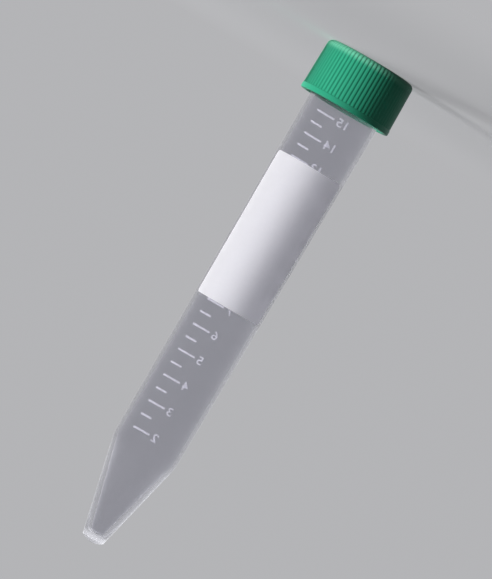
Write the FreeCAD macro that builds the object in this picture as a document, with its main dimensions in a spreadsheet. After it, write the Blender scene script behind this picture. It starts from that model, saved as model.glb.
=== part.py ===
"""A 15 ml conical centrifuge tube with its screw cap, as a parametric FreeCAD document.

The object is two mouldings: a clear tube with a drafted body, a cone and a plain neck for the
thread, and a screw cap with a ribbed skirt and a plug seal inside. Both are drawn upright about
one common axis, Z, with height 0 at the outside of the closed tip. Each body's Placement then
turns the closed tube over, to stand on the flat top of its cap, because it can't stand on its
tip and rolls when it lies on its side.

Lengths are in millimetres. In the finished frame +Z is up, the floor is z = 0 and the tip is
at the top.
"""
import FreeCAD, Part
import math
import os
import Sketcher
from FreeCAD import Placement, Rotation, Vector

SIZES = {
    # name: (value, what it measures)
    "overall_length": (120.0, "outside of the tip to the top of the closed cap"),
    "body_top_diameter": (16.5, "outside of the body level with the cap's lower edge"),
    "body_taper": (1.22, "what the body's diameter loses between cap and shoulder"),
    "cone_length": (22.8, "tip to the shoulder where the cone meets the body"),
    "shoulder_round": (4.0, "radius of the soft corner at the shoulder"),
    "tip_diameter": (5.04, "outside of the cone where it meets the domed bottom"),
    "tip_rise": (0.9, "how far the bottom domes out beyond that edge"),
    "tip_round": (0.5, "radius round that edge"),
    "wall": (0.75, "thickness of the body"),
    "bottom_thickness": (2.2, "solid plastic below the well"),
    "well_round": (1.75, "radius of the round end of the well"),
    "neck_step": (0.1, "how far the neck stands in from the body"),
    "neck_rise": (0.8, "height of the neck's foot above the cap's lower edge"),
    "rim_bevel": (0.2, "bevel on both edges of the rim"),
    "cap_height": (12.2, "whole height of the cap"),
    "cap_plate": (1.5, "thickness of the cap's flat top"),
    "cap_wall": (1.05, "thickness of the skirt behind its grooves, at the crown"),
    "crown_round": (1.2, "radius round the top edge"),
    "skirt_flare": (0.2, "how far the skirt spreads from crown to bead"),
    "bead_height": (1.25, "height of the plain bead at the skirt's foot"),
    "bead_projection": (0.1, "how far the bead stands out from the ribs"),
    "bead_bevel": (0.25, "bevel round the bead's outer edge"),
    "groove_count": (72, "grooves round the skirt, with one grip rib between each pair"),
    "groove_width": (0.54, "width of one groove"),
    "groove_depth": (0.3, "depth of one groove"),
    "groove_margin": (0.3, "plain skirt between the grooves and the rounded crown"),
    "thread_room": (1.0, "gap between neck and skirt, which the thread takes up"),
    "lead_in": (0.4, "chamfer at the mouth of the cap"),
    "plug_depth": (2.0, "how far the plug seal reaches into the mouth"),
    "plug_wall": (0.7, "thickness of the plug seal"),
    "plug_chamfer": (0.3, "chamfer that leads the plug into the mouth"),
    "plug_clearance": (0.1, "gap between plug seal and bore"),
    "seat_gap": (0.05, "gap between the rim and the cap's plate"),
}

# Radii and heights that several features share, as expressions on the sheet.
BODY_TOP_RADIUS = "(sizes.body_top_diameter / 2)"
SHOULDER_RADIUS = "((sizes.body_top_diameter - sizes.body_taper) / 2)"
BORE_RADIUS = f"({BODY_TOP_RADIUS} - sizes.wall)"
NECK_RADIUS = f"({BODY_TOP_RADIUS} - sizes.neck_step)"
CAP_BORE_RADIUS = f"({NECK_RADIUS} + sizes.thread_room)"
CROWN_RADIUS = f"({CAP_BORE_RADIUS} + sizes.cap_wall + sizes.groove_depth)"
SKIRT_RADIUS = f"({CROWN_RADIUS} + sizes.skirt_flare)"
BEAD_RADIUS = f"({SKIRT_RADIUS} + sizes.bead_projection)"
PLUG_RADIUS = f"({BORE_RADIUS} - sizes.plug_clearance)"
CAP_FOOT = "(sizes.overall_length - sizes.cap_height)"
NECK_FOOT = f"({CAP_FOOT} + sizes.neck_rise)"
PLATE_UNDERSIDE = "(sizes.overall_length - sizes.cap_plate)"
RIM = f"({PLATE_UNDERSIDE} - sizes.seat_gap)"
BEAD_TOP = f"({CAP_FOOT} + sizes.bead_height)"
GROOVE_TOP = "(sizes.overall_length - sizes.crown_round - sizes.groove_margin)"

ON_AXIS = None  # stands for a radius of 0, held by the sketch's vertical axis
AT_TIP = None  # stands for a height of 0, held by the sketch's horizontal axis
CLOSE = 1e-3  # how near an edge must lie to the circle that names it
CUT_MARGIN = 1.0  # how far a cutting outline reaches past the surface that it cuts


def make_sheet(doc):
    """Writes the driving dimensions into a spreadsheet, one named cell each."""
    sheet = doc.addObject("Spreadsheet::Sheet", "sizes")
    for row, (name, (value, meaning)) in enumerate(SIZES.items(), start=1):
        sheet.set(f"A{row}", name)
        sheet.set(f"B{row}", str(value))
        sheet.set(f"C{row}", meaning)
        sheet.setAlias(f"B{row}", name)
    doc.recompute()


def make_body(doc, label):
    """An empty body, turned over so that the closed tube stands on its cap."""
    body = doc.addObject("PartDesign::Body", label)
    body.Label = label
    body.Placement = Placement(Vector(), Rotation(Vector(1, 0, 0), 180))
    body.setExpression(".Placement.Base.z", "sizes.overall_length")
    return body


def number(owner, expression):
    """The value of an expression on the sheet as a plain number, 0 where there is none."""
    value = owner.evalExpression(expression or "0")
    return float(getattr(value, "Value", value))


def new_sketch(body, name):
    """A sketch on the body's own XZ plane: radius to the right, height upwards."""
    sketch = body.newObject("Sketcher::SketchObject", name)
    plane = next(item for item in body.Origin.OriginFeatures if item.Role == "XZ_Plane")
    sketch.AttachmentSupport = [(plane, "")]
    sketch.MapMode = "FlatFace"
    return sketch


def pin_point(sketch, geometry, end, radius, height):
    """Ties one end of a piece of geometry to its radius and its height."""
    origin, origin_point, vertical_axis, horizontal_axis = -1, 1, -2, -1
    for kind, axis, expression in (
        ("DistanceX", vertical_axis, radius),
        ("DistanceY", horizontal_axis, height),
    ):
        if expression is None:
            sketch.addConstraint(Sketcher.Constraint("PointOnObject", geometry, end, axis))
            continue
        value = number(sketch, expression)
        index = sketch.addConstraint(
            Sketcher.Constraint(kind, origin, origin_point, geometry, end, value)
        )
        sketch.setExpression(f"Constraints[{index}]", expression)


def dome_arc(pole, edge):
    """An arc from a pole on the axis up to an edge, centred on the axis."""
    width, rise = edge.x - pole.x, edge.y - pole.y
    radius = (width**2 + rise**2) / (2 * rise)
    circle = Part.Circle(pole + Vector(0, radius), Vector(0, 0, 1), radius)
    return Part.ArcOfCircle(circle, -math.pi / 2, math.asin(width / radius) - math.pi / 2)


def outline(body, name, corners, domed=False):
    """A closed outline through corners of (radius, height), straight but for a domed first edge."""
    sketch = new_sketch(body, name)
    points = [Vector(number(sketch, radius), number(sketch, height)) for radius, height in corners]
    centre, vertical_axis = 3, -2
    for index, (radius, height) in enumerate(corners):
        ends = points[index], points[(index + 1) % len(points)]
        is_dome = domed and index == 0
        sketch.addGeometry(dome_arc(*ends) if is_dome else Part.LineSegment(*ends))
        pin_point(sketch, index, 1, radius, height)
        if is_dome:
            sketch.addConstraint(
                Sketcher.Constraint("PointOnObject", index, centre, vertical_axis)
            )
    for index in range(len(corners)):
        following = (index + 1) % len(corners)
        sketch.addConstraint(Sketcher.Constraint("Coincident", index, 2, following, 1))
    return sketch


def revolve(body, name, sketch, kind="Revolution"):
    """Turns an outline once round the body's axis: a solid, or with Groove a cut."""
    feature = body.newObject(f"PartDesign::{kind}", name)
    feature.Profile = sketch
    feature.ReferenceAxis = (sketch, ["V_Axis"])
    feature.Angle = 360
    return feature


def dress(body, name, kind, base, circles, size):
    """Rounds (Fillet) or bevels (Chamfer) the feature's round edges at these (radius, height)."""
    body.Document.recompute()
    edges = []
    for index, edge in enumerate(base.Shape.Edges, start=1):
        if edge.Degenerated or not isinstance(edge.Curve, Part.Circle):
            continue
        for radius, height in circles:
            near_radius = abs(edge.Curve.Radius - number(base, radius)) < CLOSE
            near_height = abs(edge.Curve.Center.z - number(base, height)) < CLOSE
            if near_radius and near_height:
                edges.append(f"Edge{index}")
    if len(edges) != len(circles):
        raise RuntimeError(f"{name}: found {len(edges)} of {len(circles)} edges")
    feature = body.newObject(f"PartDesign::{kind}", name)
    feature.Base = (base, edges)
    feature.setExpression("Radius" if kind == "Fillet" else "Size", size)
    return feature


def must_cut(doc, before, after):
    """Stops when a cut has taken nothing away."""
    doc.recompute()
    if after.Shape.Volume >= before.Shape.Volume:
        raise RuntimeError(f"{after.Label} cuts nothing")


def well_sketch(body):
    """The inside of the tube: drafted bore, cone and a round well tangent to the cone."""
    sketch = new_sketch(body, "bore_outline")
    inner_shoulder = (f"({SHOULDER_RADIUS} - sizes.wall)", "sizes.cone_length")
    mouth = (BORE_RADIUS, RIM)
    mouth_centre = (ON_AXIS, RIM)
    shoulder, top, top_centre = (
        Vector(number(sketch, radius), number(sketch, height))
        for radius, height in (inner_shoulder, mouth, mouth_centre)
    )
    well_radius = number(sketch, "sizes.well_round")
    well_bottom = Vector(0, number(sketch, "sizes.bottom_thickness"))
    well_centre = well_bottom + Vector(0, well_radius)
    circle = Part.Circle(well_centre, Vector(0, 0, 1), well_radius)
    well_end = well_centre + Vector(well_radius, 0)

    start, end, centre, vertical_axis = 1, 2, 3, -2
    axis_line, well, cone, bore, mouth_line = range(5)
    sketch.addGeometry(Part.LineSegment(top_centre, well_bottom))
    sketch.addGeometry(Part.ArcOfCircle(circle, -math.pi / 2, 0))
    sketch.addGeometry(Part.LineSegment(well_end, shoulder))
    sketch.addGeometry(Part.LineSegment(shoulder, top))
    sketch.addGeometry(Part.LineSegment(top, top_centre))
    sketch.addConstraint(Sketcher.Constraint("Coincident", axis_line, end, well, start))
    sketch.addConstraint(Sketcher.Constraint("Tangent", well, end, cone, start))
    sketch.addConstraint(Sketcher.Constraint("Coincident", cone, end, bore, start))
    sketch.addConstraint(Sketcher.Constraint("Coincident", bore, end, mouth_line, start))
    sketch.addConstraint(Sketcher.Constraint("Coincident", mouth_line, end, axis_line, start))
    sketch.addConstraint(Sketcher.Constraint("PointOnObject", well, centre, vertical_axis))
    radius = sketch.addConstraint(Sketcher.Constraint("Radius", well, well_radius))
    sketch.setExpression(f"Constraints[{radius}]", "sizes.well_round")
    pin_point(sketch, axis_line, end, ON_AXIS, "sizes.bottom_thickness")
    pin_point(sketch, cone, end, *inner_shoulder)
    pin_point(sketch, bore, end, *mouth)
    pin_point(sketch, mouth_line, end, *mouth_centre)
    return sketch


def make_tube(doc):
    """The clear moulding: body, cone, closed tip, neck and open mouth."""
    body = make_body(doc, "tube")
    tip_edge = ("sizes.tip_diameter / 2", "sizes.tip_rise")
    outside = outline(
        body,
        "tube_outline",
        [
            (ON_AXIS, AT_TIP),
            tip_edge,
            (SHOULDER_RADIUS, "sizes.cone_length"),
            (BODY_TOP_RADIUS, CAP_FOOT),
            (BODY_TOP_RADIUS, NECK_FOOT),
            (NECK_RADIUS, f"{NECK_FOOT} + sizes.neck_step"),
            (NECK_RADIUS, RIM),
            (ON_AXIS, RIM),
        ],
        domed=True,
    )
    blank = revolve(body, "tube_blank", outside)
    shoulder = dress(
        body,
        "soft_shoulder",
        "Fillet",
        blank,
        [(SHOULDER_RADIUS, "sizes.cone_length")],
        "sizes.shoulder_round",
    )
    tip = dress(body, "rounded_tip", "Fillet", shoulder, [tip_edge], "sizes.tip_round")
    bore = revolve(body, "bore", well_sketch(body), "Groove")
    must_cut(doc, tip, bore)
    dress(
        body,
        "bevelled_rim",
        "Chamfer",
        bore,
        [(NECK_RADIUS, RIM), (BORE_RADIUS, RIM)],
        "min(sizes.rim_bevel; (sizes.wall - sizes.neck_step) * 0.4)",
    )
    return body


def make_groove(body, sketch_name, base):
    """One grip groove in the skirt: parallel sides, a drafted floor and a sloping top end."""
    floor_foot = f"({SKIRT_RADIUS} - sizes.groove_depth)"
    floor_top = f"({CROWN_RADIUS} - sizes.groove_depth)"
    sketch = outline(
        body,
        sketch_name,
        [
            (floor_foot, BEAD_TOP),
            (f"{SKIRT_RADIUS} + {CUT_MARGIN}", BEAD_TOP),
            (f"{SKIRT_RADIUS} + {CUT_MARGIN}", f"{GROOVE_TOP} + {CUT_MARGIN}"),
            (floor_top, f"{GROOVE_TOP} - sizes.groove_depth"),
        ],
    )
    groove = body.newObject("PartDesign::Pocket", "grip_groove")
    groove.Profile = sketch
    groove.SideType = "Symmetric"
    groove.setExpression("Length", "sizes.groove_width")
    must_cut(body.Document, base, groove)
    return sketch, groove


def make_cap(doc):
    """The screw cap: flat top, rounded crown, ribbed skirt, bead and plug seal."""
    body = make_body(doc, "screw_cap")
    outside = outline(
        body,
        "cap_outline",
        [
            (ON_AXIS, CAP_FOOT),
            (BEAD_RADIUS, CAP_FOOT),
            (BEAD_RADIUS, f"{BEAD_TOP} - sizes.bead_projection"),
            (SKIRT_RADIUS, BEAD_TOP),
            (CROWN_RADIUS, "sizes.overall_length"),
            (ON_AXIS, "sizes.overall_length"),
        ],
    )
    blank = revolve(body, "cap_blank", outside)
    crown = dress(
        body,
        "rounded_crown",
        "Fillet",
        blank,
        [(CROWN_RADIUS, "sizes.overall_length")],
        "sizes.crown_round",
    )
    bead = dress(
        body, "bevelled_bead", "Chamfer", crown, [(BEAD_RADIUS, CAP_FOOT)], "sizes.bead_bevel"
    )
    plug_foot = f"{PLATE_UNDERSIDE} - sizes.plug_depth"
    inside = outline(
        body,
        "cavity_outline",
        [
            (ON_AXIS, CAP_FOOT),
            (f"{CAP_BORE_RADIUS} + sizes.lead_in", CAP_FOOT),
            (CAP_BORE_RADIUS, f"{CAP_FOOT} + sizes.lead_in"),
            (CAP_BORE_RADIUS, PLATE_UNDERSIDE),
            (PLUG_RADIUS, PLATE_UNDERSIDE),
            (PLUG_RADIUS, f"{plug_foot} + sizes.plug_chamfer"),
            (f"{PLUG_RADIUS} - sizes.plug_chamfer", plug_foot),
            (f"{PLUG_RADIUS} - sizes.plug_wall", plug_foot),
            (f"{PLUG_RADIUS} - sizes.plug_wall", PLATE_UNDERSIDE),
            (ON_AXIS, PLATE_UNDERSIDE),
        ],
    )
    cavity = revolve(body, "cavity", inside, "Groove")
    must_cut(doc, bead, cavity)
    sketch, groove = make_groove(body, "groove_outline", cavity)
    ribs = body.newObject("PartDesign::PolarPattern", "grip_ribs")
    ribs.Originals = [groove]
    ribs.Axis = (sketch, ["V_Axis"])
    ribs.Angle = 360
    ribs.setExpression("Occurrences", "sizes.groove_count")
    body.Tip = ribs
    must_cut(doc, groove, ribs)
    return body


def check(doc, bodies):
    """Stops on any failed object and on any piece whose shape is empty or broken."""
    doc.recompute()
    for item in doc.Objects:
        if "Invalid" in item.State or "Error" in item.State:
            raise RuntimeError(f"{item.Label} failed: {item.State}")
    for body in bodies:
        shape = body.Shape
        if shape.isNull() or not shape.isValid() or len(shape.Solids) != 1:
            raise RuntimeError(f"{body.Label} isn't one sound solid")


def main():
    """Builds both pieces and writes each to its own STEP file."""
    doc = FreeCAD.newDocument("conical_tube")
    make_sheet(doc)
    bodies = [make_tube(doc), make_cap(doc)]
    check(doc, bodies)
    os.makedirs("parts", exist_ok=True)
    for body in bodies:
        body.Shape.exportStep(f"parts/{body.Label}.step")
        box = body.Shape.BoundBox
        print(
            f"{body.Label}: {body.Shape.Volume:.1f} mm3,"
            f" x {box.XMin:.2f} to {box.XMax:.2f}, y {box.YMin:.2f} to {box.YMax:.2f},"
            f" z {box.ZMin:.2f} to {box.ZMax:.2f}"
        )


main()
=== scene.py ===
"""A closed 15 ml conical tube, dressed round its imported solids.

The tube stands on the flat top of its screw cap, with its tip up. Lengths are in metres in the
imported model's frame: the floor is z = 0, the tube's axis is the Z axis, and the writing patch
faces -Y. Heights on the real tube are counted from its tip, so `level` turns them over.
"""

import logging
import math
from collections.abc import Callable, Iterator, Sequence
from contextlib import contextmanager
from dataclasses import dataclass
from enum import Enum
from typing import Any

import bmesh
import bpy
from mathutils import Matrix, Vector


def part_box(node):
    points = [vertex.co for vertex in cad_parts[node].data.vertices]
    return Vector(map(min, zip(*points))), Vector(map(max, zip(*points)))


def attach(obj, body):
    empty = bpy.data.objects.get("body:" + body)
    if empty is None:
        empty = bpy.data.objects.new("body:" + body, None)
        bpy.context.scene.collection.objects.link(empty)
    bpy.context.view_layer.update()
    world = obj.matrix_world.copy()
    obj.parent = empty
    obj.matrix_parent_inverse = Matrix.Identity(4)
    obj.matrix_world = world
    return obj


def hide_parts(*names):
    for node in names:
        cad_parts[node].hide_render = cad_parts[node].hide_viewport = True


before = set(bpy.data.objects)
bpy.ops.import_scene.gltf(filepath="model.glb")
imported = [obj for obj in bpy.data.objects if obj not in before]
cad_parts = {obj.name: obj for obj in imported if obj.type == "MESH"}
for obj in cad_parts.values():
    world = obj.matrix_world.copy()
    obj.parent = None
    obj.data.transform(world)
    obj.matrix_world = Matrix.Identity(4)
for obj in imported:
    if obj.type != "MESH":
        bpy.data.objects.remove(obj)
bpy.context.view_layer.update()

MM = 0.001
TURN = 2 * math.pi
MERGE = 2e-7  # points nearer than this are one point
UPRIGHT = 0.05 * MM  # an edge that rises more than this isn't level
NEAR_ANGLE = 0.05  # directions nearer than this many degrees are the same
THREAD_PITCH = 3.2 * MM
THREAD_TURNS = 1.6
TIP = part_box("tube")[1].z  # the closed tip's height above the floor
CAP_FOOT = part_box("screw_cap")[1].z  # the height of the cap's open end
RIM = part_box("tube")[0].z  # the height of the tube's rim, inside the cap

Colour = tuple[float, float, float, float]
log = logging.getLogger("conical_tube")


def level(height: float) -> float:
    """Turns a height above the tube's tip into a height above the floor."""
    return TIP - height


# ---------------------------------------------------------------- modelling by operators


class Part(Enum):
    """The parts of a mesh that can be selected, with the name of each list in BMesh."""

    VERTS = "VERT"
    EDGES = "EDGE"
    FACES = "FACE"


@dataclass(frozen=True)
class Corner:
    """One corner of an outline that is turned about the axis.

    Attributes:
        radius: Distance from the axis.
        height: Height above the floor.
        reach: How far the corner's rounding reaches along both of its sides.
        segments: Steps in the rounding.
    """

    radius: float
    height: float
    reach: float = 0.0
    segments: int = 6


def pick(*pieces: bpy.types.Object) -> None:
    """Selects some objects and nothing else, and makes the first one active.

    Args:
        *pieces: The objects to select.
    """
    bpy.ops.object.select_all(action="DESELECT")
    for piece in pieces:
        piece.select_set(True)
    bpy.context.view_layer.objects.active = pieces[0]


@contextmanager
def editing(piece: bpy.types.Object) -> Iterator[None]:
    """Opens one mesh for edit-mode operators, with nothing else selected.

    Args:
        piece: The mesh object to edit.
    """
    pick(piece)
    bpy.ops.object.mode_set(mode="EDIT")
    yield
    bpy.ops.object.mode_set(mode="OBJECT")


def middle(element: Any) -> Vector:
    """The middle of a vertex, an edge or a face.

    Args:
        element: The part of a mesh.

    Returns:
        Its middle.
    """
    if isinstance(element, bmesh.types.BMVert):
        return element.co
    return sum((vertex.co for vertex in element.verts), Vector()) / len(element.verts)


def radius_of(point: Vector) -> float:
    """A point's distance from the axis."""
    return math.hypot(point.x, point.y)


def angle_of(point: Vector) -> float:
    """A point's direction round the axis, in degrees from +X."""
    return math.degrees(math.atan2(point.y, point.x))


def choose(piece: bpy.types.Object, part: Part, test: Callable[[Any], bool]) -> int:
    """Selects what passes a test, in edit mode, and nothing else.

    Args:
        piece: The mesh object that is open in edit mode.
        part: Whether vertices, edges or faces are tested.
        test: Says whether an element is wanted.

    Returns:
        How many elements were selected.
    """
    bpy.ops.mesh.select_mode(type=part.value)
    bpy.ops.mesh.select_all(action="DESELECT")
    shape = bmesh.from_edit_mesh(piece.data)
    elements = {Part.VERTS: shape.verts, Part.EDGES: shape.edges, Part.FACES: shape.faces}[part]
    found = [element for element in elements if test(element)]
    for element in found:
        element.select_set(True)
    bmesh.update_edit_mesh(piece.data)
    return len(found)


def place(piece: bpy.types.Object) -> None:
    """Moves an object's location, turn and scale into its mesh."""
    pick(piece)
    bpy.ops.object.transform_apply(location=True, rotation=True, scale=True)


def apply_modifier(piece: bpy.types.Object, kind: str, **settings: Any) -> None:
    """Adds a modifier, sets it and applies it to the mesh.

    Args:
        piece: The mesh object to change.
        kind: The modifier's type.
        **settings: The modifier's own settings.
    """
    pick(piece)
    modifier = piece.modifiers.new(kind.lower(), kind)
    for name, value in settings.items():
        setattr(modifier, name, value)
    bpy.ops.object.modifier_apply(modifier=modifier.name)


def join(pieces: Sequence[bpy.types.Object], name: str) -> bpy.types.Object:
    """Makes one object of several, under a new name.

    Args:
        pieces: The objects to join.
        name: The joined object's name.

    Returns:
        The joined object.
    """
    pick(*pieces)
    bpy.ops.object.join()
    pieces[0].name = pieces[0].data.name = name
    return pieces[0]


def close_up(piece: bpy.types.Object) -> None:
    """Merges a mesh's doubled points and turns its faces outwards.

    Args:
        piece: The mesh object to close.
    """
    with editing(piece):
        bpy.ops.mesh.select_all(action="SELECT")
        bpy.ops.mesh.remove_doubles(threshold=MERGE)
        bpy.ops.mesh.normals_make_consistent(inside=False)


def smooth(piece: bpy.types.Object, degrees: float) -> None:
    """Shades a mesh smooth, apart from edges that are sharper than an angle."""
    pick(piece)
    bpy.ops.object.shade_smooth_by_angle(angle=math.radians(degrees))


def even_shading(piece: bpy.types.Object) -> None:
    """Lets large faces set the shading of the smaller ones beside them."""
    apply_modifier(piece, "WEIGHTED_NORMAL", keep_sharp=True)


def weld(piece: bpy.types.Object, ridge: bpy.types.Object, solver: str) -> None:
    """Joins a thread's ridge to its moulding by a Boolean, and removes the ridge.

    Args:
        piece: The moulding.
        ridge: The ridge.
        solver: The Boolean's solver.
    """
    apply_modifier(piece, "BOOLEAN", operation="UNION", object=ridge, solver=solver)
    bpy.data.objects.remove(ridge)
    close_up(piece)


def paint(piece: bpy.types.Object, material: bpy.types.Material) -> None:
    """Makes a material the only one of a piece."""
    piece.data.materials.clear()
    piece.data.materials.append(material)


def draw_outline(name: str, corners: Sequence[Corner]) -> bpy.types.Object:
    """Draws a chain of edges in the XZ plane and rounds its corners.

    Args:
        name: The new object's name.
        corners: The chain's corners in order.

    Returns:
        The new object, which holds edges only.
    """
    bpy.ops.mesh.primitive_plane_add(size=MM)
    piece = bpy.context.object
    piece.name = piece.data.name = name
    with editing(piece):
        bpy.ops.mesh.select_all(action="SELECT")
        bpy.ops.mesh.merge(type="CENTER")
        bpy.ops.transform.translate(value=(corners[0].radius, 0, corners[0].height))
        for last, corner in zip(corners, corners[1:]):
            step = (corner.radius - last.radius, 0, corner.height - last.height)
            bpy.ops.mesh.extrude_region_move(TRANSFORM_OT_translate={"value": step})
        for corner in corners:
            if not corner.reach:
                continue
            at = Vector((corner.radius, 0, corner.height))
            choose(piece, Part.VERTS, lambda vertex: (vertex.co - at).length < MERGE)
            bpy.ops.mesh.bevel(
                offset=corner.reach,
                segments=corner.segments,
                affect="VERTICES",
                clamp_overlap=False,
            )
    return piece


def turned(name: str, corners: Sequence[Corner], steps: int) -> bpy.types.Object:
    """Turns an outline once round the axis into a closed moulding.

    Args:
        name: The new object's name.
        corners: The outline's corners, from the axis and back to it.
        steps: Facets round the axis.

    Returns:
        The turned object.
    """
    piece = draw_outline(name, corners)
    with editing(piece):
        bpy.ops.mesh.select_all(action="SELECT")
        bpy.ops.mesh.spin(steps=steps, angle=TURN, center=(0, 0, 0), axis=(0, 0, 1))
    close_up(piece)
    return piece


@dataclass(frozen=True)
class ThreadRidge:
    """One right-hand helical ridge, which fades into its wall at both ends.

    Attributes:
        root: Radius of the wall that the ridge stands on.
        crest: Radius of the ridge's crest, inside or outside the root.
        start: Height of the ridge's middle where it begins.
        pitch: Rise in one turn.
        turns: How far round the ridge runs.
        foot_width: Width of the ridge at its root.
        crest_width: Width of the ridge at its crest.
        bite: How far the ridge's foot lies inside its wall.
        steps_per_turn: Sections of the ridge in one turn.
        fade_steps: Sections over which it rises out of its wall, at each end.
    """

    root: float
    crest: float
    start: float
    pitch: float = THREAD_PITCH
    turns: float = THREAD_TURNS
    foot_width: float = 1.5 * MM
    crest_width: float = 0.7 * MM
    bite: float = 0.15 * MM
    steps_per_turn: int = 60
    fade_steps: int = 7

    def build(self, name: str) -> bpy.types.Object:
        """Extrudes the ridge's section step by step along its helix.

        Args:
            name: The new object's name.

        Returns:
            The ridge as a closed mesh, whose foot lies a little inside its wall.
        """
        outwards = math.copysign(1, self.crest - self.root)
        foot = self.root - outwards * self.bite
        depth = abs(self.crest - foot)
        bpy.ops.mesh.primitive_plane_add(size=1, rotation=(math.pi / 2, 0, 0))
        ridge = bpy.context.object
        ridge.name = ridge.data.name = name
        ridge.dimensions = (depth, self.foot_width, 0)
        ridge.location = ((foot + self.crest) / 2, 0, self.start)
        place(ridge)
        count = round(self.turns * self.steps_per_turn)
        angle = TURN / self.steps_per_turn
        climb = self.pitch / self.steps_per_turn
        sunk = -outwards * (abs(self.crest - self.root) + self.bite / 3)
        with editing(ridge):
            choose(
                ridge, Part.VERTS, lambda vertex: abs(radius_of(vertex.co) - self.crest) < MERGE
            )
            bpy.ops.transform.resize(
                value=(1, 1, self.crest_width / self.foot_width),
                center_override=(self.crest, 0, self.start),
            )
            bpy.ops.mesh.select_all(action="SELECT")
            bpy.ops.transform.translate(value=(sunk, 0, 0))
            for step in range(1, count + 1):
                rise = (step <= self.fade_steps) - (step > count - self.fade_steps)
                shift = -sunk * rise / self.fade_steps
                turn = angle * (step - 1)
                way = (shift * math.cos(turn), shift * math.sin(turn), climb)
                bpy.ops.mesh.extrude_region_move(TRANSFORM_OT_translate={"value": way})
                # With no window this operator turns clockwise, so the angle is negative.
                bpy.ops.transform.rotate(value=-angle, orient_axis="Z", center_override=(0, 0, 0))
        close_up(ridge)
        return ridge


# ---------------------------------------------------------------- shader expressions


class Value:
    """A shader socket that Python's own arithmetic works on."""

    def __init__(self, tree: "ShaderTree", socket: bpy.types.NodeSocket) -> None:
        """Wraps one output socket of a tree."""
        self.tree = tree
        self.socket = socket

    def maths(self, operation: str, first: Any, second: Any) -> "Value":
        """Adds a Math node for one operation on two values."""
        return self.tree.node("ShaderNodeMath", {"operation": operation}, {0: first, 1: second})

    def __add__(self, other: Any) -> "Value":
        """Value plus other."""
        return self.maths("ADD", self, other)

    def __mul__(self, other: Any) -> "Value":
        """Value times other."""
        return self.maths("MULTIPLY", self, other)

    def __pow__(self, other: Any) -> "Value":
        """Value to the power of other."""
        return self.maths("POWER", self, other)

    def either(self, other: Any) -> "Value":
        """The larger of value and other."""
        return self.maths("MAXIMUM", self, other)


class ShaderTree:
    """The node tree of one new material."""

    def __init__(self, name: str) -> None:
        """Starts a material with an empty tree.

        Args:
            name: The material's name.
        """
        self.material = bpy.data.materials.new(name)
        self.material.use_nodes = True
        self.nodes = self.material.node_tree.nodes
        self.links = self.material.node_tree.links
        self.nodes.clear()

    def node(
        self, kind: str, settings: dict[str, Any], sockets: dict[Any, Any], output: Any = 0
    ) -> Value:
        """Adds any node: its settings first, then the values or links of its sockets.

        Args:
            kind: The node's type.
            settings: The node's own settings.
            sockets: Input name or number to a plain value or to another node's output.
            output: Name or number of the output that is wanted.

        Returns:
            The wanted output.
        """
        node = self.nodes.new(kind)
        for name, value in settings.items():
            setattr(node, name, value)
        for key, value in sockets.items():
            if isinstance(value, Value):
                self.links.new(value.socket, node.inputs[key])
            else:
                node.inputs[key].default_value = value
        return Value(self, node.outputs[output])

    def position(self) -> Value:
        """The surface's own Object coordinates, in metres."""
        return self.node("ShaderNodeTexCoord", {}, {}, "Object")

    def along(self, axis: str) -> Value:
        """One of the Object coordinates, named by its axis."""
        return self.node("ShaderNodeSeparateXYZ", {}, {0: self.position()}, axis)

    def ray(self, kind: str) -> Value:
        """1 for one kind of ray and 0 for all others."""
        return self.node("ShaderNodeLightPath", {}, {}, kind)

    def noise(self, grain: float, detail: float = 2.0, stretch: float = 1.0) -> Value:
        """Noise from 0 to 1 over the Object coordinates.

        Args:
            grain: Size of one patch of the noise, in metres.
            detail: Octaves of finer noise.
            stretch: How much longer than wide the patches are along the axis.

        Returns:
            The noise.
        """
        stretched = self.node(
            "ShaderNodeMapping",
            {"vector_type": "POINT"},
            {0: self.position(), "Scale": (1.0, 1.0, 1.0 / stretch)},
        )
        return self.node(
            "ShaderNodeTexNoise",
            {"noise_dimensions": "3D"},
            {"Vector": stretched, "Scale": 1 / grain, "Detail": detail, "Roughness": 0.5},
        )

    def blend(self, share: Any, first: Any, second: Any) -> Value:
        """Mixes two colours by a share of the second.

        Args:
            share: The second colour's share.
            first: The first colour.
            second: The second colour.

        Returns:
            The mixed colour.
        """
        return self.node(
            "ShaderNodeMix", {"data_type": "RGBA"}, {0: share, 6: first, 7: second}, 2
        )

    def fade(self, value: Value, start: tuple[float, float], end: tuple[float, float]) -> Value:
        """Eases from one result to another, each given with the value that it starts or ends at.

        Args:
            value: What the result depends on.
            start: The value at the start, and its result.
            end: The value at the end, and its result.

        Returns:
            The eased result.
        """
        return self.node(
            "ShaderNodeMapRange",
            {"clamp": True, "interpolation_type": "SMOOTHSTEP"},
            {0: value, 1: start[0], 2: end[0], 3: start[1], 4: end[1]},
        )

    def bump(self, height: Value, depth: float, strength: float = 1.0) -> Value:
        """A normal from a height between 0 and 1 that stands for a depth in metres.

        Args:
            height: The height.
            depth: What a height of 1 stands for.
            strength: How much of the effect is used.

        Returns:
            The normal.
        """
        return self.node(
            "ShaderNodeBump", {}, {"Height": height, "Distance": depth, "Strength": strength}
        )

    def mix(self, share: Any, first: Value, second: Value) -> Value:
        """Mixes two shaders by a share of the second."""
        return self.node("ShaderNodeMixShader", {}, {0: share, 1: first, 2: second})

    def finish(self, surface: Value) -> bpy.types.Material:
        """Connects a shader to the output and gives the material.

        Args:
            surface: The shader.

        Returns:
            The finished material.
        """
        output = self.nodes.new("ShaderNodeOutputMaterial")
        self.links.new(surface.socket, output.inputs["Surface"])
        return self.material


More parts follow.
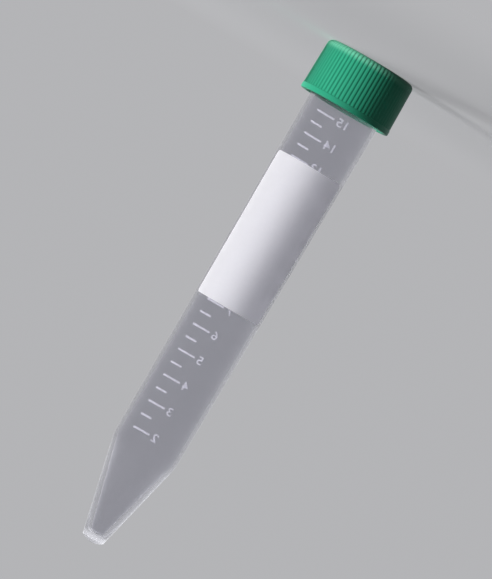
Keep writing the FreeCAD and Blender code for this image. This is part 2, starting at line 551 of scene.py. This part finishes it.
@dataclass(frozen=True)
class Fade:
    """A share of milkiness that eases in towards the tube's tip.

    Attributes:
        start: Height above the tip where it begins.
        end: Height above the tip where it is whole.
        share: The share there.
        rest: The share before it begins.
    """

    start: float
    end: float
    share: float
    rest: float = 0.0

    def over(self, tree: ShaderTree, height: Value) -> Value:
        """The share at each height above the floor."""
        return tree.fade(height, (level(self.start), self.rest), (level(self.end), self.share))


@dataclass(frozen=True)
class ClearPolypropylene:
    """Moulded polypropylene: clear but slightly milky, and milkier where it is seen aslant."""

    tint: Colour = (0.698, 0.698, 0.734, 1)
    milk: Colour = (0.90, 0.90, 0.935, 1)
    milk_through: float = 0.62  # the share of the milky light that comes from behind
    milk_share: float = 0.019
    milk_spread: float = 0.02  # how much the clouds change that share
    edge: Fade = Fade(24.5 * MM, 19.0 * MM, 4.0, rest=1.1)  # walls seen aslant: body, then cone
    bottom: Fade = Fade(2.7 * MM, 1.5 * MM, 0.26)  # the solid plastic below the well
    dome: Fade = Fade(1.2 * MM, 0.6 * MM, 0.3)
    refraction: float = 1.49
    roughness: float = 0.035
    roughness_spread: float = 0.02
    ripple_depth: float = 0.001 * MM
    shadow_tint: Colour = (0.91, 0.915, 0.925, 1)

    def material(self) -> bpy.types.Material:
        """Builds the finish.

        Returns:
            The material.
        """
        tree = ShaderTree("clear_polypropylene")
        cloud = tree.noise(3.5 * MM, detail=3.0, stretch=3.0)
        ripple = tree.noise(2.5 * MM, detail=1.0, stretch=5.0)
        relief = tree.bump(ripple, self.ripple_depth, strength=0.2)
        roughness = cloud * self.roughness_spread + (self.roughness - self.roughness_spread / 2)
        clear = tree.node(
            "ShaderNodeBsdfPrincipled",
            {},
            {
                "Base Color": self.tint,
                "Roughness": roughness,
                "IOR": self.refraction,
                "Transmission Weight": 1.0,
                "Normal": relief,
            },
        )
        front = tree.node("ShaderNodeBsdfDiffuse", {}, {"Color": self.milk})
        through = tree.node("ShaderNodeBsdfTranslucent", {}, {"Color": self.milk})
        milky = tree.mix(self.milk_through, front, through)
        aslant = tree.node("ShaderNodeLayerWeight", {}, {"Blend": 0.1}, "Facing")
        height = tree.along("Z")
        edge = aslant * aslant * self.edge.over(tree, height)
        bottom = self.bottom.over(tree, height)
        dome = self.dome.over(tree, height)
        haze = cloud * self.milk_spread
        share = edge + bottom + dome + haze + (self.milk_share - self.milk_spread / 2)
        body = tree.mix(share, clear, milky)
        open_way = tree.node("ShaderNodeBsdfTransparent", {}, {"Color": self.shadow_tint})
        return tree.finish(tree.mix(tree.ray("Is Shadow Ray"), body, open_way))


@dataclass(frozen=True)
class GreenPolyethylene:
    """Opaque satin polyethylene, with painted highlights on its crown and on the crests of its ribs.
    """

    colour: Colour = (0.023, 0.332, 0.19, 1)
    # Painted highlight: the ribs' crests are paler, so the grooves between them look shaded.
    rubbed: Colour = (0.044, 0.372, 0.222, 1)
    rub_share: float = 0.6
    # Painted highlight: the crown's rounding and flat top are paler, as if lit from the cap's end.
    scuffed: Colour = (0.15, 0.57, 0.37, 1)
    scuff_from: float = 2.2 * MM  # height above the floor where the painted highlight on the crown begins
    scuff_to: float = 0.7 * MM
    roughness: float = 0.42
    flow_roughness: float = 0.08
    grain_roughness: float = 0.06
    refraction: float = 1.54
    specular: float = 0.2
    grain_depth: float = 0.006 * MM
    rib_radius: float = 10.6 * MM
    crest_depth: float = 0.25 * MM  # how deep below the ribs' crests the painted crest highlight reaches

    def material(self) -> bpy.types.Material:
        """Builds the finish.

        Returns:
            The material.
        """
        tree = ShaderTree("green_polyethylene")
        flow = tree.noise(4.0 * MM, detail=3.0)
        grain = tree.noise(0.18 * MM, detail=2.0)
        east = tree.along("X")
        north = tree.along("Y")
        radius = (east * east + north * north) ** 0.5
        crest = tree.node(
            "ShaderNodeMapRange",
            {"clamp": True},
            {0: radius, 1: self.rib_radius - self.crest_depth, 2: self.rib_radius, 3: 0.0, 4: 1.0},
        )
        # Painted highlight: whole on the crown, fading out towards the skirt.
        crown_highlight_mask = tree.fade(tree.along("Z"), (self.scuff_to, 1.0), (self.scuff_from, 0.0))
        # Painted highlight on the crests, broken up by the flow noise; the grooves keep the plain
        # colour.
        skirt = tree.blend(crest * flow * self.rub_share, self.colour, self.rubbed)
        spread = (self.flow_roughness + self.grain_roughness) / 2
        roughness = flow * self.flow_roughness + grain * self.grain_roughness
        return tree.finish(
            tree.node(
                "ShaderNodeBsdfPrincipled",
                {},
                {
                    # The base colour carries the painted highlights on the crown and on the rib
                    # crests.
                    "Base Color": tree.blend(crown_highlight_mask, skirt, self.scuffed),
                    "Roughness": roughness + (self.roughness - spread),
                    "IOR": self.refraction,
                    "Specular IOR Level": self.specular,
                    "Normal": tree.bump(grain, self.grain_depth, strength=0.5),
                },
            )
        )


@dataclass(frozen=True)
class WhiteInk:
    """Opaque white printing ink, thin enough to glow a little when it is lit from behind."""

    glow: float
    colour: Colour = (0.88, 0.872, 0.897, 1)
    thin: Colour = (0.81, 0.805, 0.84, 1)
    roughness: float = 0.5
    roughness_spread: float = 0.1
    weave_depth: float = 0.004 * MM

    def material(self) -> bpy.types.Material:
        """Builds the finish.

        Returns:
            The material.
        """
        tree = ShaderTree("white_ink")
        cover = tree.noise(0.6 * MM, detail=4.0)
        weave = tree.noise(0.12 * MM, detail=1.0)
        colour = tree.blend(cover, self.colour, self.thin)
        ink = tree.node(
            "ShaderNodeBsdfPrincipled",
            {},
            {
                "Base Color": colour,
                "Roughness": cover * self.roughness_spread + self.roughness,
                "Normal": tree.bump(weave, self.weave_depth, strength=0.5),
            },
        )
        through = tree.node("ShaderNodeBsdfTranslucent", {}, {"Color": self.colour})
        return tree.finish(tree.mix(self.glow, ink, through))


@dataclass(frozen=True)
class PaleSweep:
    """The studio's paper: a pale ground that keeps a soft shadow and evens out with distance.

    Attributes:
        paper: The colour that the paper throws back on the object.
        fleck: The colour of its fibres.
        fleck_share: How much of that colour the thickest fibres have.
        pale: The colour under the shadow, as it is seen.
        shown: The even glow that it fades to.
        near: Distance from the object where the glow begins to grow.
        near_share: The glow's share up to there.
        far: Distance from which nothing but the glow is seen.
        roughness: The roughness of the paper.
    """

    paper: Colour = (0.27, 0.272, 0.28, 1)
    fleck: Colour = (0.25, 0.252, 0.26, 1)
    fleck_share: float = 0.5
    pale: Colour = (0.72, 0.727, 0.75, 1)
    shown: Colour = (0.456, 0.458, 0.472, 1)
    near: float = 90.0 * MM
    near_share: float = 0.55
    far: float = 260.0 * MM
    roughness: float = 0.9

    def material(self) -> bpy.types.Material:
        """Builds the finish.

        Returns:
            The material.
        """
        tree = ShaderTree("pale_sweep")
        fibre = tree.noise(2.0 * MM, detail=3.0)
        seen = tree.ray("Is Camera Ray")
        mirrored = tree.ray("Is Glossy Ray")
        through = tree.ray("Is Transmission Ray")
        ground = seen.either(mirrored).either(through)
        lit = tree.blend(fibre * self.fleck_share, self.paper, self.fleck)
        paper = tree.node(
            "ShaderNodeBsdfPrincipled",
            {},
            {
                "Base Color": tree.blend(ground, lit, self.pale),
                "Roughness": self.roughness,
                "Specular IOR Level": 0.0,
            },
        )
        even = tree.node("ShaderNodeEmission", {}, {"Color": self.shown, "Strength": 1.0})
        away = tree.node(
            "ShaderNodeVectorMath", {"operation": "LENGTH"}, {0: tree.position()}, "Value"
        )
        share = ground * tree.fade(away, (self.near, self.near_share), (self.far, 1.0))
        return tree.finish(tree.mix(share, paper, even))


# ---------------------------------------------------------------- the tube and its cap


@dataclass
class TubeMoulding:
    """The clear moulding: drafted body, cone, closed tip and threaded neck."""

    body_top: float = 8.25 * MM
    shoulder: float = 7.64 * MM
    shoulder_reach: float = 0.75 * MM
    neck: float = 8.15 * MM
    wall: float = 0.75 * MM
    cone_length: float = 22.8 * MM
    tip: float = 2.52 * MM
    tip_reach: float = 0.17 * MM
    tip_rise: float = 0.9 * MM  # how far the bottom domes out beyond the tip's edge
    dome_share: float = 0.98  # how much of its own length the dome's rounding takes
    well_radius: float = 1.69 * MM
    well_end: float = 3.495 * MM
    well_bottom: float = 2.2 * MM
    well_draft: float = 0.34 * MM
    well_reach: float = 0.72 * MM
    rim_reach: float = 0.22 * MM
    neck_foot: float = 0.8 * MM
    neck_step: float = 0.1 * MM
    thread_height: float = 0.8 * MM
    thread_start: float = 3.4 * MM
    facets: int = 192
    crease: float = 32.0  # edges sharper than this many degrees stay sharp
    finish: ClearPolypropylene = ClearPolypropylene()

    def outside_radius(self, height: float) -> float:
        """The body's outside radius at a height above the floor, between cap and shoulder."""
        share = (height - CAP_FOOT) / (level(self.cone_length) - CAP_FOOT)
        return self.body_top + (self.shoulder - self.body_top) * share

    def outline(self) -> list[Corner]:
        """The moulding's section, from the tip's outside over the rim to the well's bottom.

        Returns:
            The corners in order.
        """
        inside = self.body_top - self.wall
        neck_foot = CAP_FOOT - self.neck_foot
        cone_end = level(self.cone_length)
        well_bottom = level(self.well_bottom)
        dome = (self.tip**2 + self.tip_rise**2) / (2 * self.tip)
        return [
            Corner(0, TIP),
            Corner(dome, TIP, self.dome_share * dome, 12),
            Corner(self.tip, TIP - self.tip_rise, self.tip_reach, 3),
            Corner(self.shoulder, cone_end, self.shoulder_reach, 8),
            Corner(self.body_top, neck_foot),
            Corner(self.neck, neck_foot - self.neck_step),
            Corner(self.neck, RIM, self.rim_reach, 4),
            Corner(inside, RIM, self.rim_reach, 4),
            Corner(self.shoulder - self.wall, cone_end, self.shoulder_reach, 8),
            Corner(self.well_radius, level(self.well_end)),
            Corner(self.well_radius - self.well_draft, well_bottom, self.well_reach, 8),
            Corner(0, well_bottom),
        ]

    def build(self) -> bpy.types.Object:
        """Turns the moulding, adds its thread and dresses it.

        Returns:
            The finished piece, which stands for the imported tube.
        """
        piece = turned("tube_moulding", self.outline(), self.facets)
        thread = ThreadRidge(self.neck, self.neck + self.thread_height, self.thread_start)
        weld(piece, thread.build("neck_thread"), "EXACT")
        smooth(piece, self.crease)
        even_shading(piece)
        paint(piece, self.finish.material())
        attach(piece, "tube")
        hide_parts("tube")
        return piece


@dataclass
class ScrewCap:
    """The green cap: flat top, rounded crown, skirt with grip ribs, bead, plug seal and thread."""

    crown: float = 10.5 * MM
    crown_reach: float = 1.2 * MM
    skirt: float = 10.7 * MM
    bead: float = 10.8 * MM
    bead_height: float = 1.25 * MM
    bead_slope: float = 0.1 * MM  # height of the slope from the skirt out to the bead
    bead_reach: float = 0.3 * MM
    bore: float = 9.15 * MM
    bore_reach: float = 0.35 * MM
    lead_in: float = 0.4 * MM
    lip_reach: float = 0.08 * MM
    plate: float = 1.5 * MM
    plug: float = 7.4 * MM
    plug_wall: float = 0.7 * MM
    plug_depth: float = 2.0 * MM
    plug_roots: tuple[float, float] = (0.15 * MM, 0.3 * MM)  # roundings, outside and inside
    plug_noses: tuple[float, float] = (0.28 * MM, 0.12 * MM)
    thread_height: float = 0.75 * MM
    thread_start: float = 5.0 * MM
    groove_top: float = 0.25 * MM
    groove_depth: float = 0.135 * MM
    groove_floor: float = 0.35  # the groove's width at its floor, as a share of its mouth
    rib_round: float = 0.11 * MM
    rib_turn: float = -1.25  # how far the middle of the first rib is turned, in degrees
    ribs: int = 72
    rib_columns: int = 5  # facets from the middle of one rib to the middle of the next
    skin: float = 0.6 * MM  # the outside of the skirt lies no deeper than this under the crown
    crease: float = 35.0  # edges sharper than this many degrees stay sharp
    finish: GreenPolyethylene = GreenPolyethylene()

    @property
    def sector(self) -> float:
        """The angle from the middle of one rib to the middle of the next, in degrees."""
        return 360 / self.ribs

    @property
    def facet(self) -> float:
        """The angle of one facet of a sector, in degrees."""
        return self.sector / self.rib_columns

    @property
    def bead_top(self) -> float:
        """The height above the floor where the skirt's grooves end at the bead."""
        return CAP_FOOT - self.bead_height

    def outline(self) -> list[Corner]:
        """The cap's section, from the middle of its top round to the middle of its plate.

        Returns:
            The corners in order.
        """
        plug_foot = self.plate + self.plug_depth
        plug_inside = self.plug - self.plug_wall
        return [
            Corner(0, 0),
            Corner(self.crown, 0, self.crown_reach, 9),
            Corner(self.skirt, self.bead_top),
            Corner(self.bead, self.bead_top + self.bead_slope, self.bead_slope / 2, 2),
            Corner(self.bead, CAP_FOOT, self.bead_reach, 5),
            Corner(self.bore + self.lead_in, CAP_FOOT, self.lip_reach, 2),
            Corner(self.bore, CAP_FOOT - self.lead_in, self.lip_reach, 2),
            Corner(self.bore, self.plate, self.bore_reach, 4),
            Corner(self.plug, self.plate, self.plug_roots[0], 3),
            Corner(self.plug, plug_foot, self.plug_noses[0], 4),
            Corner(plug_inside, plug_foot, self.plug_noses[1], 3),
            Corner(plug_inside, self.plate, self.plug_roots[1], 4),
            Corner(0, self.plate),
        ]

    def _on_skirt(self, point: Vector, slack: float = 0.0) -> bool:
        """True for a point on the outside of the grooved stretch of the skirt."""
        outside = radius_of(point) > self.crown - self.skin
        return outside and self.groove_top < point.z < self.bead_top + slack

    def _in_groove(self, element: Any) -> bool:
        """True for what lies between two ribs, on the outside of the skirt."""
        at = middle(element)
        return self._on_skirt(at) and self.facet < abs(angle_of(at)) < self.sector - self.facet

    def _at_crest(self, point: Vector) -> bool:
        """True for a point where a rib's crest meets its groove."""
        angle = abs(angle_of(point))
        return min(abs(angle - self.facet), abs(angle - self.sector + self.facet)) < NEAR_ANGLE

    def _rib_edge(self, edge: Any) -> bool:
        """True for the long edges of a rib's crest.

        Args:
            edge: An edge of one sector.

        Returns:
            Whether it is such an edge.
        """
        ends = [vertex.co for vertex in edge.verts]
        upright = abs(ends[0].z - ends[1].z) > UPRIGHT
        return upright and all(self._on_skirt(end, MERGE) and self._at_crest(end) for end in ends)

    def build(self) -> bpy.types.Object:
        """Models one groove between two half ribs, copies it all round and adds the thread.

        Returns:
            The finished piece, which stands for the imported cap.
        """
        piece = draw_outline("cap_moulding", self.outline())
        shrink = 1 - self.groove_depth / self.skirt
        across = (self.skirt - self.groove_depth) * math.sin(math.radians(self.sector / 2))
        with editing(piece):
            bpy.ops.mesh.select_all(action="SELECT")
            bpy.ops.mesh.spin(
                steps=self.rib_columns,
                angle=math.radians(self.sector),
                center=(0, 0, 0),
                axis=(0, 0, 1),
            )
            found = choose(piece, Part.FACES, self._in_groove)
            log.info("groove faces in one sector: %d", found)
            bpy.ops.mesh.extrude_region()
            bpy.ops.transform.resize(value=(shrink, shrink, 1), center_override=(0, 0, 0))
            bpy.ops.transform.resize(
                value=(1, self.groove_floor, 1), center_override=(0, across, 0)
            )
            found = choose(piece, Part.EDGES, self._rib_edge)
            log.info("rib edges in one sector: %d", found)
            bpy.ops.mesh.bevel(offset=self.rib_round, segments=3, affect="EDGES")
            bpy.ops.mesh.select_all(action="SELECT")
            bpy.ops.mesh.spin(
                steps=self.ribs - 1,
                angle=TURN * (self.ribs - 1) / self.ribs,
                dupli=True,
                center=(0, 0, 0),
                axis=(0, 0, 1),
            )
        close_up(piece)
        piece.rotation_euler = (0, 0, math.radians(self.rib_turn))
        place(piece)
        thread = ThreadRidge(self.bore, self.bore - self.thread_height, self.thread_start)
        weld(piece, thread.build("cap_thread"), "MANIFOLD")
        smooth(piece, self.crease)
        even_shading(piece)
        paint(piece, self.finish.material())
        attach(piece, "cap")
        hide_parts("screw_cap")
        return piece


# ---------------------------------------------------------------- the print


class Side(Enum):
    """The side of the tube that a print is on, with the axis that turns it over to there."""

    PATCH = (0.0, math.pi, 0.0)
    SCALE = (math.pi, 0.0, 0.0)


@dataclass
class Print:
    """The white print: a patch to write on, and on the other side the graduations.

    The artwork is drawn flat and upright, as it reads from outside the tube: x to the reader's
    right and z up from the tip. It is then bent round the tube and turned over with it.
    """

    moulding: TubeMoulding
    patch_ink: WhiteInk = WhiteInk(glow=0.48)
    mark_ink: WhiteInk = WhiteInk(glow=0.92)
    patch_levels: tuple[float, float] = (58.43 * MM, 93.57 * MM)
    patch_angles: tuple[float, float] = (-72.0, 67.0)
    patch_corner: float = 0.8 * MM
    tick_start: float = 0.91 * MM
    long_tick: float = 5.3 * MM
    short_tick: float = 3.6 * MM
    tick_width: float = 0.46 * MM
    numeral_end: float = 0.1 * MM  # where the right-hand end of every numeral stands
    numeral_height: float = 1.95 * MM
    numeral_breadth: float = 1.25  # how much wider than the font's own the numerals are
    numeral_weight: float = 0.0175  # how far their strokes are thickened, in the font's units
    first: int = 2
    last: int = 15
    first_height: float = 26.03 * MM
    step: float = 6.597 * MM  # rise for each millilitre at the first mark
    closing: float = 0.0372 * MM  # how the marks close up as the bore widens, per millilitre squared
    gap: float = 0.012 * MM
    thickness: float = 0.03 * MM
    column: float = 0.4 * MM  # greatest width of one flat facet of the bent artwork
    speck: float = 0.04 * MM  # points of the flat artwork nearer than this are one point
    fold: float = 0.002 * MM  # the same for points that the wrap lays together
    form_facets: int = 2880
    crease: float = 40.0  # edges sharper than this many degrees stay sharp

    def height(self, volume: float) -> float:
        """The height above the tip that a volume in millilitres reaches."""
        above = volume - self.first
        return self.first_height + self.step * above - self.closing * above * above

    def _bar(self, left: float, right: float, low: float, high: float) -> bpy.types.Object:
        """A flat upright rectangle between two places across and two heights.

        Args:
            left: Its left side.
            right: Its right side.
            low: Its lower side, above the tip.
            high: Its upper side, above the tip.

        Returns:
            The rectangle.
        """
        bpy.ops.mesh.primitive_plane_add(size=1, rotation=(math.pi / 2, 0, 0))
        bar = bpy.context.object
        bar.dimensions = (right - left, high - low, 0)
        bar.location = ((left + right) / 2, 0, (low + high) / 2)
        place(bar)
        return bar

    def _numeral(self, number: int) -> bpy.types.Object:
        """One numeral as a flat upright mesh, centred on its graduation.

        Args:
            number: The number to write.

        Returns:
            The numeral.
        """
        bpy.ops.object.text_add()
        text = bpy.context.object
        text.data.body = str(number)
        text.data.align_x = text.data.align_y = "CENTER"
        text.data.offset = self.numeral_weight
        pick(text)
        bpy.ops.object.convert(target="MESH")
        numeral = bpy.context.object
        size = self.numeral_height / numeral.dimensions.y
        centre = sum((Vector(corner) for corner in numeral.bound_box), Vector()) / 8
        end = max(corner[0] for corner in numeral.bound_box)
        breadth = size * self.numeral_breadth
        numeral.scale = (breadth, size, size)
        numeral.rotation_euler = (math.pi / 2, 0, 0)
        numeral.location = (
            self.numeral_end - end * breadth,
            0,
            self.height(number) - centre.y * size,
        )
        place(numeral)
        return numeral

    def _form(self) -> bpy.types.Object:
        """A finely faceted copy of the drafted body, for the print to be laid on.

        Returns:
            The open form, which is no piece of the model.
        """
        low, high = CAP_FOOT, level(self.moulding.cone_length)
        bpy.ops.mesh.primitive_cone_add(
            vertices=self.form_facets,
            radius1=self.moulding.outside_radius(low),
            radius2=self.moulding.outside_radius(high),
            depth=high - low,
            end_fill_type="NOTHING",
            location=(0, 0, (low + high) / 2),
        )
        form = bpy.context.object
        place(form)
        return form

    @staticmethod
    def _join_points(reach: float) -> None:
        """Joins points of the artwork being edited that lie nearer than a reach.

        Args:
            reach: The reach.
        """
        bpy.ops.mesh.select_all(action="SELECT")
        bpy.ops.mesh.remove_doubles(threshold=reach)
        bpy.ops.mesh.dissolve_degenerate(threshold=reach)

    def _wrap(self, artwork: bpy.types.Object, side: Side, form: bpy.types.Object) -> None:
        """Bends flat artwork round the tube, lays it on the surface and thickens it.

        Args:
            artwork: The flat print, centred on its side of the tube.
            side: The side of the tube that it belongs to.
            form: The drafted body that it is laid on.
        """
        across = [vertex.co.x for vertex in artwork.data.vertices]
        with editing(artwork):
            self._join_points(self.speck)
            count = math.ceil((max(across) - min(across)) / self.column)
            for index in range(1, count):
                cut = min(across) + index * self.column
                bpy.ops.mesh.select_all(action="SELECT")
                bpy.ops.mesh.bisect(plane_co=(cut, 0, 0), plane_no=(1, 0, 0))
        radius = self.moulding.body_top
        apply_modifier(
            artwork,
            "SIMPLE_DEFORM",
            deform_method="BEND",
            deform_axis="Z",
            angle=(max(across) - min(across)) / radius,
        )
        artwork.location = (0, -radius, 0)
        place(artwork)
        artwork.rotation_euler = side.value
        artwork.location = (0, 0, TIP)
        place(artwork)
        apply_modifier(
            artwork,
            "SHRINKWRAP",
            target=form,
            wrap_method="NEAREST_SURFACEPOINT",
            wrap_mode="ABOVE_SURFACE",
            offset=self.gap,
        )
        with editing(artwork):
            self._join_points(self.fold)
        apply_modifier(artwork, "SOLIDIFY", thickness=self.thickness, offset=1.0)
        smooth(artwork, self.crease)

    def _dress(self, piece: bpy.types.Object, ink: bpy.types.Material) -> None:
        """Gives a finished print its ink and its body.

        Args:
            piece: The print.
            ink: Its material.
        """
        paint(piece, ink)
        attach(piece, "tube")

    def _patch(self) -> bpy.types.Object:
        """The flat patch to write on, with its rounded corners.

        Returns:
            The patch.
        """
        reach = [math.radians(angle) * self.moulding.body_top for angle in self.patch_angles]
        patch = self._bar(*reach, *self.patch_levels)
        patch.name = patch.data.name = "writing_patch"
        with editing(patch):
            bpy.ops.mesh.select_all(action="SELECT")
            bpy.ops.mesh.bevel(offset=self.patch_corner, segments=6, affect="VERTICES")
        return patch

    def _graduations(self) -> bpy.types.Object:
        """The flat scale: a mark for each half millilitre and a numeral for each whole one.

        Returns:
            The marks and numerals as one object.
        """
        marks = []
        for half in range(2 * self.first, 2 * self.last + 1):
            volume = half / 2
            whole = half % 2 == 0
            length = self.long_tick if whole else self.short_tick
            low = self.height(volume) - self.tick_width / 2
            start = self.tick_start + (self.long_tick - length)
            marks.append(self._bar(start, start + length, low, low + self.tick_width))
            if whole:
                marks.append(self._numeral(half // 2))
        return join(marks, "graduations")

    def build(self) -> list[bpy.types.Object]:
        """Draws the patch and the graduations and puts them on the tube.

        Returns:
            The two finished pieces.
        """
        form = self._form()
        patch = self._patch()
        self._wrap(patch, Side.PATCH, form)
        scale = self._graduations()
        self._wrap(scale, Side.SCALE, form)
        bpy.data.objects.remove(form)
        self._dress(patch, self.patch_ink.material())
        self._dress(scale, self.mark_ink.material())
        return [patch, scale]


# ---------------------------------------------------------------- the studio


@dataclass(frozen=True)
class Lamp:
    """One rectangular soft lamp that faces the tube.

    Attributes:
        name: The lamp's name.
        spot: Where it stands.
        size: Its width and height.
        power: Its power in watts.
        mirrored: Whether glossy surfaces show it.
    """

    name: str
    spot: tuple[float, float, float]
    size: tuple[float, float]
    power: float
    mirrored: bool = True

    def build(self, target: Vector) -> None:
        """Adds the lamp, turned to a target.

        Args:
            target: What it shines at.
        """
        bpy.ops.object.light_add(type="AREA", location=self.spot)
        lamp = bpy.context.object
        lamp.name = lamp.data.name = self.name
        lamp.data.shape = "RECTANGLE"
        lamp.data.size, lamp.data.size_y = self.size
        lamp.data.energy = self.power
        # Its light passes the clear walls as open shadow rays, so it isn't counted again there.
        lamp.visible_transmission = False
        lamp.visible_glossy = self.mirrored
        aim = target - Vector(self.spot)
        lamp.rotation_euler = aim.to_track_quat("-Z", "Y").to_euler()


@dataclass
class Studio:
    """A round pale sweep, soft lamps and the camera."""

    middle: float = 63.93 * MM  # the height above the tip that the camera looks at
    aside: float = 1.298 * MM  # how far to the side of the axis it stands
    distance: float = 1.0
    lens: float = 288.1
    roll: float = 30.41  # how far it is rolled, in degrees
    clip: tuple[float, float] = (0.02, 20.0)
    sweep_floor: float = 1.6
    sweep_curve: float = 0.6
    sweep_wall: float = 2.0
    sweep_facets: int = 96
    sweep_crease: float = 40.0
    room: Colour = (0.9, 0.93, 1, 1)
    room_strength: float = 0.03
    lamps: tuple[Lamp, ...] = (
        Lamp("key", (0.561, -0.286, 0.549), (0.30, 0.16), 2.2),
        Lamp("side", (0.713, -0.363, 0.035), (0.40, 0.06), 6.9, mirrored=False),
        Lamp("rim", (0.390, 0.690, 0.167), (0.40, 0.16), 9.0, mirrored=False),
    )

    def sweep(self) -> bpy.types.Object:
        """Turns the floor and its curved wall, all round the object.

        Returns:
            The sweep.
        """
        outline = [
            Corner(0, 0),
            Corner(self.sweep_floor + self.sweep_curve, 0, self.sweep_curve, 16),
            Corner(self.sweep_floor + self.sweep_curve, self.sweep_wall),
        ]
        piece = turned("pale_sweep", outline, self.sweep_facets)
        with editing(piece):
            bpy.ops.mesh.select_all(action="SELECT")
            bpy.ops.mesh.normals_make_consistent(inside=True)
        smooth(piece, self.sweep_crease)
        piece.data.materials.append(PaleSweep().material())
        return piece

    def light(self) -> None:
        """Adds a high key lamp, a low side lamp, a rim lamp behind and the room's weak light."""
        for lamp in self.lamps:
            lamp.build(Vector((0, 0, level(self.middle))))
        world = bpy.data.worlds.new("room")
        world.use_nodes = True
        background = world.node_tree.nodes["Background"]
        background.inputs["Color"].default_value = self.room
        background.inputs["Strength"].default_value = self.room_strength
        bpy.context.scene.world = world

    def camera(self) -> None:
        """Adds the camera, which looks along +Y and is rolled so that the cap is up and right."""
        data = bpy.data.cameras.new("camera")
        data.lens = self.lens
        data.clip_start, data.clip_end = self.clip
        camera = bpy.data.objects.new("camera", data)
        bpy.context.scene.collection.objects.link(camera)
        roll = math.radians(self.roll)
        right = Vector((-math.cos(roll), 0, -math.sin(roll)))
        up = Vector((math.sin(roll), 0, -math.cos(roll)))
        turn = Matrix((right, up, Vector((0, -1, 0)))).transposed().to_4x4()
        spot = Matrix.Translation((-self.aside, -self.distance, level(self.middle)))
        camera.matrix_world = spot @ turn
        bpy.context.scene.camera = camera

    def build(self) -> None:
        """Sets the whole studio up."""
        self.sweep()
        self.light()
        self.camera()
        bpy.context.scene.view_settings.view_transform = "Standard"


def report(piece: bpy.types.Object) -> None:
    """Logs one piece's name and size.

    Args:
        piece: The finished piece.
    """
    log.info(
        "%s: %d faces, %s mm",
        piece.name,
        len(piece.data.polygons),
        " x ".join(f"{side / MM:.2f}" for side in piece.dimensions),
    )


def main() -> None:
    """Builds the tube, its cap, its print and the studio."""
    logging.basicConfig(level=logging.INFO, format="%(name)s: %(message)s")
    moulding = TubeMoulding()
    report(moulding.build())
    report(ScrewCap().build())
    for piece in Print(moulding).build():
        report(piece)
    Studio().build()


if __name__ == "__main__":
    main()
